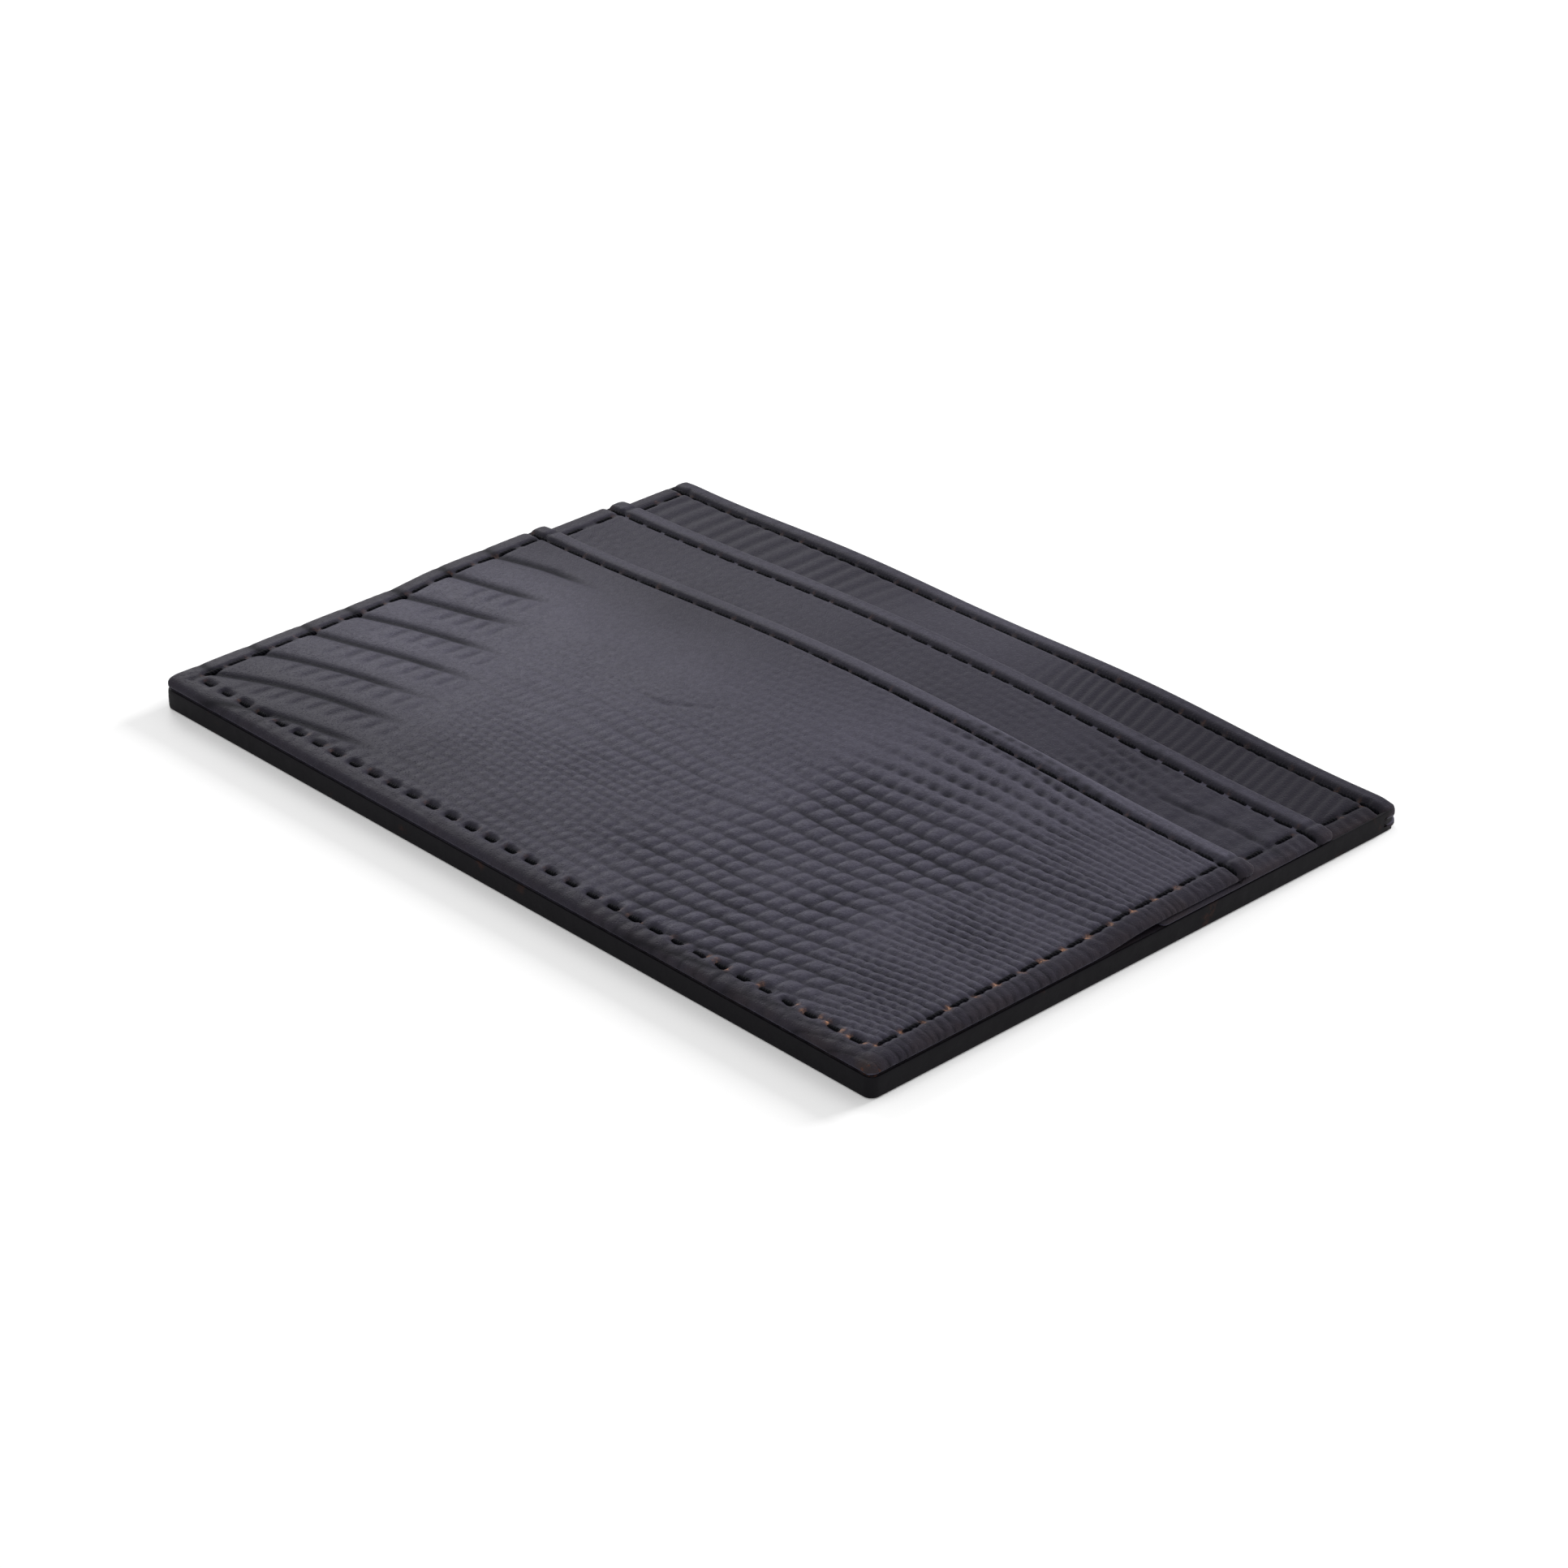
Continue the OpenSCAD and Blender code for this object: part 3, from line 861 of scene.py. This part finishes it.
def new_finish(name, constants, varying):
    """A Principled material. constants are set on the shader's own sockets, and varying(finish)
    returns what changes over the surface."""
    finish = Finish(bpy.data.materials.new(name))
    sockets = {**constants, **varying(finish)}
    surface = finish.node("ShaderNodeBsdfPrincipled", None, sockets)
    finish.node("ShaderNodeOutputMaterial", None, {"Surface": surface})
    return finish.owner


def rgba(colour_value):
    """A colour with full alpha."""
    return (*colour_value, 1.0)


def leather_finish(colours):
    """Charcoal leather: painted shade and painted highlight over the face, painted shade in the pits,
    brown rubbed edges, fibre flecks, pores and fine creases.
    """

    def varying(f):
        pit, wear, fleck = f.mark("pit"), f.mark("wear"), f.mark("fleck")
        patches, tint, grain = f.cloud(14, 3), f.cloud(3.2, 3), f.cloud(0.5, 4, 0.65)
        pores = f.cells(0.24)
        # The face colour: painted shade and painted highlight from the shading mark, with random patches of
        # tone.
        face = f.blend(f.mark("shade") + 0.25 * patches - 0.12, rgba(colours.leather), rgba(colours.shade))
        mottled = f.blend(grain.step(0.30, 0.70) * 0.35, face, rgba(colours.shade))
        # Painted shade in the pits, the stitch dimples and the mouth groove.
        deep = f.blend(pit * 0.85, mottled, rgba(colours.pit))
        rubbed = wear * (0.35 + 0.65 * tint.step(0.35, 0.65))
        worn = f.blend(rubbed * (1 - 0.6 * pit), deep, rgba(colours.worn))
        specks = (wear * f.cloud(0.45, 2)).step(0.50, 0.62) * 0.5
        rusty = f.blend(specks, worn, rgba(colours.edge_worn))
        fibre = fleck * (0.25 + 0.9 * f.cloud(0.3, 2).step(0.42, 0.60))
        height = 0.5 * grain + 0.5 * pores.step(0.0, 0.5)
        return {
            "Base Color": f.blend(fibre, rusty, rgba(colours.fleck)),
            "Roughness": 0.37 + 0.16 * pit + 0.10 * grain + 0.10 * tint,
            "Normal": f.bump(height),
        }

    return new_finish("lizard_leather", {"Specular IOR Level": 0.07}, varying)


def edge_finish(colours):
    """Thick black edge paint: slightly wavy, rubbed through to brown in a few places."""

    def varying(f):
        rub = f.cloud(5, 3).step(0.60, 0.78) * f.cloud(0.6, 3).step(0.40, 0.65)
        return {
            "Base Color": f.blend(rub * 0.7, rgba(colours.edge), rgba(colours.edge_worn)),
            "Roughness": 0.45 + 0.2 * f.cloud(1.5, 3),
            "Normal": f.bump(f.cloud(1.2, 3)),
        }

    return new_finish("edge_paint", {"Specular IOR Level": 0.08}, varying)


def lining_finish(colours):
    """Plain weave: threads over and under in squares of a quarter millimetre."""

    def varying(f):
        turn = 2 * np.pi / (0.5 * MM)
        x, y = f.parts(f.place())
        weave = 0.5 + 0.5 * ((x * turn).sine() * (y * turn).sine())
        dark = rgba([c * 0.45 for c in colours.lining])
        return {
            "Base Color": f.blend(weave * 0.7 + 0.3 * f.cloud(0.4, 3), dark, rgba(colours.lining)),
            "Roughness": 0.75 + 0.15 * f.cloud(2, 2),
            "Normal": f.bump(weave + 0.3 * f.cloud(0.15, 2)),
        }

    return new_finish("lining_cloth", {"Sheen Weight": 0.2, "Specular IOR Level": 0.2}, varying)


def thread_finish(colours):
    """Waxed twisted thread: slanting plies, read along and around the thread."""

    def varying(f):
        around, down = f.parts(f.node("ShaderNodeUVMap", {"uv_map": "turn"}, output="UV"))
        ply = 0.5 + 0.5 * ((around * 2 - down * 3.2) * (2 * np.pi)).sine()
        light = rgba([c * 2.2 for c in colours.thread])
        return {
            "Base Color": f.blend(ply, rgba(colours.thread), light),
            "Roughness": 0.5 + 0.2 * f.cloud(0.3, 2),
            "Normal": f.bump(ply + 0.3 * f.cloud(0.1, 2)),
        }

    return new_finish("waxed_thread", {"Specular IOR Level": 0.03}, varying)


FINISHES = {"leather": leather_finish, "edge": edge_finish, "lining": lining_finish, "thread": thread_finish}
MADE = {}


def finish_of(context, kind):
    """The material of that kind, made once."""
    if kind not in MADE:
        MADE[kind] = FINISHES[kind](context.scene.holder_colours)
    return MADE[kind]


# ---------------------------------------------------------------- pieces


def front_painted_light(x, y):
    """Painted shade of the front pocket, from 0 to 1: a painted highlight in the middle, over the plates
    and at the right, and the most painted shade at the far and near ends of its left half."""
    middle = bell(np.hypot((x + 8) / 42, (y + 10) / 18))
    plates = bell(np.hypot((x + 38) / 11, (y + 4) / 12))
    ends = ease((np.abs(y + 9) - 9) / 12) * ease((5 - x) / 30)
    painted_highlight = 0.50 * (1 - 0.6 * ends) + 0.32 * ease((x + 5) / 30) + 0.40 * middle + 0.60 * plates
    return 1 - clamp(painted_highlight)


def front_piece(h, material):
    """The front pocket, with beads, fine rows and belly plates, and a lip along its mouth."""

    def under(x, y, d):
        floor = h.base_top + 0.04 + (h.middle_top - h.base_top) * climbed(h, y)
        return rim(floor, h.front_z + front_rise(h, x, y), d, h.rim) - border_fall(h, x, y)

    sheet = Sheet(h.half, h.closed, h.front, h.pocket_corner, 0.75)
    leather_piece(h, "front_pocket", sheet, front_face, under, lizard_face, front_painted_light, material, 1)


def middle_piece(h, material):
    """The middle pocket's leather, fine where it shows above the front pocket."""

    def under(x, y, d):
        inner = h.middle_z + middle_rise(h, x, y)
        return rim(h.base_top, inner, h.half - np.abs(x), h.rim) - border_fall(h, x, y)

    # Painted shade over the middle pocket's strip, a little darker toward the right.
    def shade(x, y):
        return 0.62 + 0.10 * ease(x / 40)

    sheet = Sheet(h.half, h.strip, h.middle, h.pocket_corner, 0.35)
    shown = (h.front - 3, h.middle)
    leather_piece(h, "middle_pocket", sheet, middle_face, under, grained_strip, shade, material, 101, shown)


def base_piece(h, material):
    """The base panel, fine where its strip shows above the middle pocket."""

    def under(x, y, d):
        return rim(h.back_t, h.base_z + (base_rise(h, x, y) + edge_wave(h, x, y)), d, h.rim)

    # Painted shade over the base panel's strip: darker toward the right and lighter in the middle.
    def shade(x, y):
        return 0.78 + 0.22 * ease((x + 10) / 50) - 0.25 * bell(x / 14)

    sheet = Sheet(h.half, h.closed, h.open, h.panel_corner, 0.5)
    shown = (h.middle - 3, h.open)
    leather_piece(h, "base_panel", sheet, base_face, under, ribbed_strip, shade, material, 201, shown)


def back_piece(h, material):
    """The back panel, whose embossed face looks down at the table."""
    sheet = Sheet(h.half, h.closed, h.open, h.panel_corner, 0.4)
    leather_piece(
        h, "back_panel", sheet, lambda h, x, y: h.back_t + 0 * x, lambda x, y, d: h.lip + 0 * x,
        lizard_back, lambda x, y: 0.5 + 0 * x, material, 301, flip=True,
    )


def lining_piece(h, node, height, mouth, corner, rise, material):
    """One lining cloth, glued behind its panel and stopping short of the hem."""
    sheet = Sheet(h.half - h.lining_inset, h.closed + h.lining_inset, mouth - h.hem, corner, 0.06)
    points, faces, _ = build_sheet(
        sheet, lambda x, y: height + h.lining_t + rise(h, x, y), lambda x, y, d: height + rise(h, x, y), 1.0
    )
    make_piece(node + "_cloth", points, faces, material, (node,))


def fallen(rise):
    """The same rise with the fall of the sewn border taken off."""
    return lambda h, x, y: rise(h, x, y) - border_fall(h, x, y)


def edge_band(h, material):
    """The painted edge of the back and base panels along the closed edge and both sides.
    Its profile is carried round the outline: z = mid + reach sin(a) and out = swell cos(a)^0.6 for a
    from a quarter turn below to a quarter turn above, closed inside the leather."""
    corner, spacing = h.panel_corner, 0.8
    end = h.open - 0.9
    turn = np.linspace(0, np.pi / 2, 9)[1:-1]
    down = np.linspace(end, h.closed + corner, int((end - h.closed) / spacing))
    level = np.linspace(-h.half + corner, h.half - corner, int(2 * h.half / spacing))
    left = np.stack([np.full_like(down, -h.half), down, np.full_like(down, -1), 0 * down], -1)
    arc = np.stack([
        -h.half + corner - corner * np.cos(turn), h.closed + corner - corner * np.sin(turn),
        -np.cos(turn), -np.sin(turn),
    ], -1)
    straight = np.stack([level, np.full_like(level, h.closed), 0 * level, np.full_like(level, -1)], -1)
    mirror_x = np.array([-1, 1, -1, 1])
    path = np.concatenate([left, arc, straight, (arc * mirror_x)[::-1], (left * mirror_x)[::-1]])
    a = np.linspace(-np.pi / 2, np.pi / 2, 13)
    low, high = 0.10, h.base_top - 0.40
    z = (low + high) / 2 + (high - low) / 2 * np.sin(a)
    out = 0.10 * np.cos(a) ** 0.6 - 0.02
    z, out = np.concatenate([z, [high - 0.1, low + 0.1]]), np.concatenate([out, [-0.42, -0.42]])
    fade = ease((end - path[:, 1]) / 2.5)[:, None]
    wave = 1 + 0.25 * noise(path[:, 0], path[:, 1], 6.0, 61)[:, None]
    shift = np.where(out > -0.1, out * fade * wave - 0.06 * (1 - fade), out)
    points = np.stack([
        path[:, 0:1] + path[:, 2:3] * shift, path[:, 1:2] + path[:, 3:4] * shift,
        np.broadcast_to(z, shift.shape),
    ], -1)
    n, m = shift.shape
    ids = np.arange(n * m).reshape(n, m)
    following = np.roll(ids, -1, axis=1)
    quads = np.stack([ids[:-1], ids[1:], following[1:], following[:-1]], -1).reshape(-1, 4)
    faces = quads.tolist() + [ids[0].tolist(), ids[-1, ::-1].tolist()]
    make_piece("edge_paint_band", points.reshape(-1, 3), faces, material)


# How far each end of a stitch goes on into its needle hole, in millimetres.
IN_HOLE = 0.22


def thread_piece(h, name, node, rows, material, back=False):
    """The stitches of one seam as threads. rows holds (x, y, direction, height, seam, sink) of its
    lines, where height(x, y) is the leather's. On the back they are mirrored to look down. A thread
    goes on past what shows, into its needle holes."""
    points, faces, uv = [], [], []
    for x, y, d, height, seam, sink in rows:
        x, y = np.broadcast_arrays(np.asarray(x, float), np.asarray(y, float))
        rise = (height(x + d[0], y + d[1]) - height(x - d[0], y - d[1])) / 2
        middles = np.stack([x, y, height(x, y)], -1)
        towards = np.stack([np.full_like(x, d[0]), np.full_like(x, d[1]), rise], -1)
        towards /= np.linalg.norm(towards, axis=-1, keepdims=True)
        found = tubes(middles, towards, seam.reach + IN_HOLE, h.thread_d / 2, sink)
        start = sum(len(p) for p in points)
        points.append(found[0])
        faces += [[start + i for i in f] for f in found[1]]
        uv.append(found[2])
    points, uv = np.concatenate(points), np.concatenate(uv)
    if back:
        points = points * np.array([1, 1, -1])
        faces = [f[::-1] for f in faces]
    make_piece(name, points, faces, material, (node,), uv=uv)


def seam_rows(h, height, sink):
    """The lines of the three-sided seam: the closed edge and both sides."""
    sides = side_middles(h)
    return [
        (closed_middles(h), h.y_seam, (1, 0), height, CLOSED, sink + 0.12),
        (-h.x_seam, sides, (0, 1), height, SIDE, sink),
        (h.x_seam, sides, (0, 1), height, SIDE, sink),
    ]


# ---------------------------------------------------------------- operators


class HolderOperator(Operator):
    """Shared settings of the holder's operators."""

    bl_options = {"REGISTER", "UNDO"}


class AddFrontPocket(HolderOperator):
    """Adds the front pocket's leather"""

    bl_idname = "card_holder.front_pocket"
    bl_label = "Front Pocket"

    def execute(self, context):
        front_piece(holder(context), finish_of(context, "leather"))
        return {"FINISHED"}


class AddMiddlePocket(HolderOperator):
    """Adds the middle pocket's leather"""

    bl_idname = "card_holder.middle_pocket"
    bl_label = "Middle Pocket"

    def execute(self, context):
        middle_piece(holder(context), finish_of(context, "leather"))
        return {"FINISHED"}


class AddBaseAndBack(HolderOperator):
    """Adds the base and back panels' leather and their painted edge"""

    bl_idname = "card_holder.base_and_back"
    bl_label = "Base and Back"

    def execute(self, context):
        h = holder(context)
        base_piece(h, finish_of(context, "leather"))
        back_piece(h, finish_of(context, "leather"))
        edge_band(h, finish_of(context, "edge"))
        return {"FINISHED"}


class AddLinings(HolderOperator):
    """Adds the four lining cloths"""

    bl_idname = "card_holder.linings"
    bl_label = "Linings"

    def execute(self, context):
        h = holder(context)
        cloth = finish_of(context, "lining")
        for node, height, mouth, corner, rise in (
            ("back_lining", h.back_lining_z, h.open, h.panel_corner, flat),
            ("base_lining", h.base_lining_z, h.open, h.panel_corner, base_rise),
            ("middle_lining", h.middle_lining_z, h.middle, h.pocket_corner, fallen(middle_rise)),
            ("front_lining", h.front_lining_z, h.front, h.pocket_corner, fallen(front_rise)),
        ):
            lining_piece(h, node, height, mouth, corner, rise, cloth)
        return {"FINISHED"}


class AddStitches(HolderOperator):
    """Adds the threads of every seam"""

    bl_idname = "card_holder.stitches"
    bl_label = "Stitches"

    def execute(self, context):
        h = holder(context)
        thread = finish_of(context, "thread")
        face, table = partial(whole_face, h), partial(flat, h)

        def line(mouth, height, sink=0.42):
            return [(mouth_middles(h), mouth - h.mouth_seam, (1, 0), height, MOUTH, sink)]

        for name, node, rows, back in (
            ("seam_threads", "seam_stitches", seam_rows(h, face, 0.28), False),
            ("front_mouth_threads", "front_mouth_stitches", line(h.front, face), False),
            ("middle_mouth_threads", "middle_mouth_stitches", line(h.middle, face), False),
            ("base_edge_threads", "base_edge_stitches", line(h.open, face), False),
            ("seam_threads_back", "seam_stitches_back", seam_rows(h, table, 0.30), True),
            ("back_edge_threads", "back_edge_stitches", line(h.open, table, 0.30), True),
        ):
            thread_piece(h, name, node, rows, thread, back)
        return {"FINISHED"}


# The camera, as bearings from the middle of the face: degrees round from the closed edge's side and
# up, and distances in millimetres. NEAR and HEIGHT place the middle that it is measured from.
VIEW_TURN = 46.46
VIEW_RISE = 28.74
VIEW_DISTANCE = 440.2
VIEW_RIGHT = 2.60
VIEW_UP = -4.23
VIEW_NEAR = -1.35
VIEW_HEIGHT = 3.25
VIEW_LENS = 104.6


def add_camera():
    """The camera looks along its own axis at a point near the middle of the face."""
    turn, rise = np.radians(VIEW_TURN), np.radians(VIEW_RISE)
    back = np.array([np.sin(turn) * np.cos(rise), -np.cos(turn) * np.cos(rise), np.sin(rise)])
    right = np.array([np.cos(turn), np.sin(turn), 0])
    up = np.cross(back, right)
    middle = np.array([0, VIEW_NEAR, VIEW_HEIGHT])
    spot = middle + back * VIEW_DISTANCE + right * VIEW_RIGHT + up * VIEW_UP
    data = bpy.data.cameras.new("camera")
    data.lens, data.sensor_width = VIEW_LENS, 36
    data.clip_start, data.clip_end = 0.01, 10
    camera = bpy.data.objects.new("camera", data)
    bpy.context.scene.collection.objects.link(camera)
    turned = Matrix([right, up, back]).transposed().to_4x4()
    camera.matrix_world = Matrix.Translation(Vector(spot * MM)) @ turned
    bpy.context.scene.camera = camera


def add_lamp(name, place, target, size, power, mirrored=True):
    """A square soft lamp at place, in metres, that looks at target. Where mirrored is off it lights
    surfaces but shows in no reflection."""
    data = bpy.data.lights.new(name, "AREA")
    data.shape, data.size, data.energy = "SQUARE", size, power
    lamp = bpy.data.objects.new(name, data)
    bpy.context.scene.collection.objects.link(lamp)
    lamp.visible_glossy = mirrored
    aim = (Vector(target) - Vector(place)).to_track_quat("-Z", "Y")
    lamp.matrix_world = Matrix.Translation(Vector(place)) @ aim.to_matrix().to_4x4()


def add_world(strength):
    """White to the camera and in reflections, and a plain level of soft light on everything else."""
    finish = Finish(bpy.data.worlds.new("soft_room"))
    reflected = finish.ray("Is Glossy Ray").most(finish.ray("Is Transmission Ray"))
    level = strength + (1 - strength) * finish.ray("Is Camera Ray").most(reflected)
    light = finish.node("ShaderNodeBackground", None, {"Color": (1, 1, 1, 1), "Strength": level})
    finish.node("ShaderNodeOutputWorld", None, {"Surface": light})
    bpy.context.scene.world = finish.owner


def add_floor(colours, lift):
    """A wide pale floor, lifted to white where the camera sees it, that keeps the holder's shadow."""
    mesh = bpy.data.meshes.new("floor")
    reach = 3.0
    corners = [(-reach, -reach, 0), (reach, -reach, 0), (reach, reach, 0), (-reach, reach, 0)]
    mesh.from_pydata(corners, [], [(0, 1, 2, 3)])
    floor = bpy.data.objects.new("floor", mesh)
    bpy.context.scene.collection.objects.link(floor)
    finish = Finish(bpy.data.materials.new("floor_paper"))
    paper = finish.node("ShaderNodeBsdfDiffuse", None, {"Color": rgba(colours.floor)})
    glow = {"Color": (1, 1, 1, 1), "Strength": finish.ray("Is Camera Ray") * lift}
    light = finish.node("ShaderNodeEmission", None, glow)
    both = finish.node("ShaderNodeAddShader", None, {0: paper, 1: light})
    finish.node("ShaderNodeOutputMaterial", None, {"Surface": both})
    mesh.materials.append(finish.owner)


class AddStage(HolderOperator):
    """Adds the camera, the lamps, the world and the floor"""

    bl_idname = "card_holder.stage"
    bl_label = "Stage"

    def execute(self, context):
        add_camera()
        add_world(0.5)
        add_lamp("window", (-0.40, 0.16, 0.28), (-0.03, -0.01, 0.0), 0.20, 0.80)
        add_lamp("low", (0.06, 0.60, 0.25), (0.02, 0.0, 0.0), 0.25, 4.4, mirrored=False)
        add_lamp("fill", (0.10, -0.50, 0.60), (0.0, 0.0, 0.0), 0.60, 1.0)
        add_floor(context.scene.holder_colours, 0.16)
        context.scene.view_settings.view_transform = "Standard"
        return {"FINISHED"}


OPERATORS = (AddFrontPocket, AddMiddlePocket, AddBaseAndBack, AddLinings, AddStitches, AddStage)


class HolderPanel(Panel):
    """Lists the holder's sizes, colours and operators"""

    bl_idname = "VIEW3D_PT_card_holder"
    bl_label = "Card Holder"
    bl_space_type = "VIEW_3D"
    bl_region_type = "UI"
    bl_category = "Card Holder"

    def draw(self, context):
        for group in (context.scene.holder_sizes, context.scene.holder_colours):
            box = self.layout.box()
            for name in group.__annotations__:
                box.prop(group, name)
        for operator in OPERATORS:
            self.layout.operator(operator.bl_idname)


CLASSES = (HolderSizes, HolderColours, *OPERATORS, HolderPanel)


def register():
    for cls in CLASSES:
        bpy.utils.register_class(cls)
    bpy.types.Scene.holder_sizes = PointerProperty(type=HolderSizes)
    bpy.types.Scene.holder_colours = PointerProperty(type=HolderColours)


def unregister():
    del bpy.types.Scene.holder_colours
    del bpy.types.Scene.holder_sizes
    for cls in reversed(CLASSES):
        bpy.utils.unregister_class(cls)


def main():
    """Builds every piece and the stage."""
    register()
    bpy.ops.card_holder.front_pocket()
    bpy.ops.card_holder.middle_pocket()
    bpy.ops.card_holder.base_and_back()
    bpy.ops.card_holder.linings()
    bpy.ops.card_holder.stitches()
    bpy.ops.card_holder.stage()


if __name__ == "__main__":
    main()
